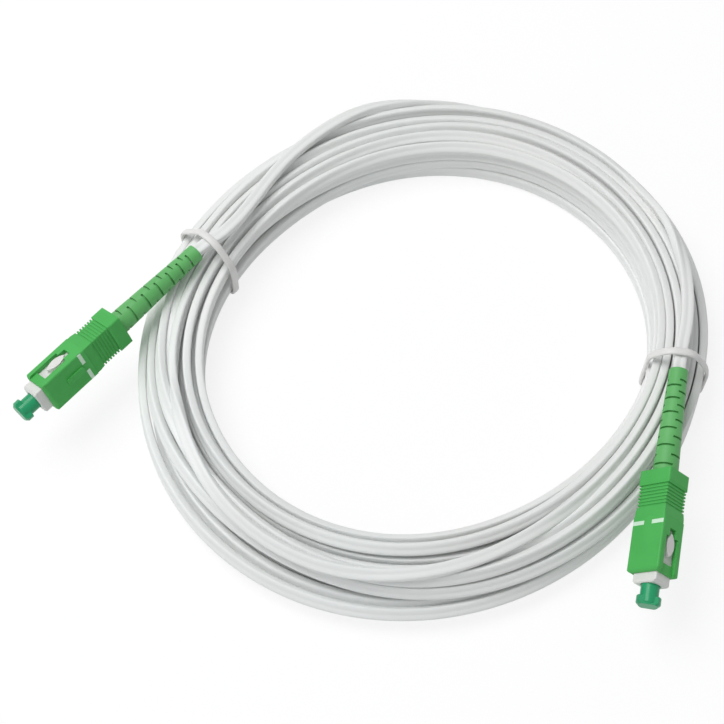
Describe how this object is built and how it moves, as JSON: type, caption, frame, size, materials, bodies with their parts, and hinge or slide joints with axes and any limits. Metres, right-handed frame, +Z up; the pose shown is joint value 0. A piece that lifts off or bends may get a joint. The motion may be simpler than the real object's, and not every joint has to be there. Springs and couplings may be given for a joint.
{
  "type": "fiber optic patch cord",
  "caption": "Flat drop-cable fibre patch cord wound into a tied ring, with a green push-pull square plug, segmented boot and dust cap at each end.",
  "frame": {"origin": "middle of the wound ring, on the surface that the ring lies on", "axes": "+Z up, square to the ring's plane; -Y is the near side, where the loops fan out; the left plug points to -X and -Y, the right plug to -Y; the ring's long diameter runs at about 45 degrees between +X and +Y"},
  "size_m": [0.1691, 0.1492, 0.0217],
  "materials": {
    "jacket_white": "satin",
    "tie_white": "satin",
    "cap_teal": "semi-gloss",
    "ferrule_white": "polished",
    "flange_metal": "satin",
    "spring_steel": "drawn wire",
    "frame_white": "semi-gloss",
    "housing_green": "fine satin",
    "mark_white": "satin",
    "crimp_brass": "satin",
    "stop_metal": "turned",
    "fiber_white": "satin",
    "boot_green": "satin"
  },
  "bodies": {
    "root": {"coil": "jacket_white", "cord_a": "jacket_white", "cord_b": "jacket_white", "tie_a": "tie_white", "tie_b": "tie_white", "a_plug_frame": "frame_white", "a_stop_body": "stop_metal", "a_crimp_sleeve": "crimp_brass", "a_fiber": "fiber_white", "a_boot": "boot_green", "a_spring": "spring_steel", "b_plug_frame": "frame_white", "b_stop_body": "stop_metal", "b_crimp_sleeve": "crimp_brass", "b_fiber": "fiber_white", "b_boot": "boot_green", "b_spring": "spring_steel"},
    "a_shell": {"a_housing": "housing_green", "a_marks": "mark_white"},
    "a_contact": {"a_ferrule": "ferrule_white", "a_ferrule_flange": "flange_metal"},
    "a_cap": {"a_dust_cap": "cap_teal"},
    "b_shell": {"b_housing": "housing_green", "b_marks": "mark_white"},
    "b_contact": {"b_ferrule": "ferrule_white", "b_ferrule_flange": "flange_metal"},
    "b_cap": {"b_dust_cap": "cap_teal"}
  },
  "joints": [
    {"name": "a_pull_back", "type": "slide", "parent": "root", "child": "a_shell", "axis": [0.6689, 0.7429, 0.0262], "range_m": [0, 0.0016]},
    {"name": "a_float", "type": "slide", "parent": "root", "child": "a_contact", "axis": [0.6689, 0.7429, 0.0262], "range_m": [0, 0.002], "stiffness_N_per_m": 1000, "deforming": ["a_spring"]},
    {"name": "a_uncap", "type": "slide", "parent": "a_contact", "child": "a_cap", "axis": [-0.6689, -0.7429, -0.0262], "range_m": [0, 0.011]},
    {"name": "b_pull_back", "type": "slide", "parent": "root", "child": "b_shell", "axis": [0.2061, 0.9779, 0.0349], "range_m": [0, 0.0016]},
    {"name": "b_float", "type": "slide", "parent": "root", "child": "b_contact", "axis": [0.2061, 0.9779, 0.0349], "range_m": [0, 0.002], "stiffness_N_per_m": 1000, "deforming": ["b_spring"]},
    {"name": "b_uncap", "type": "slide", "parent": "b_contact", "child": "b_cap", "axis": [-0.2061, -0.9779, -0.0349], "range_m": [0, 0.011]}
  ]
}
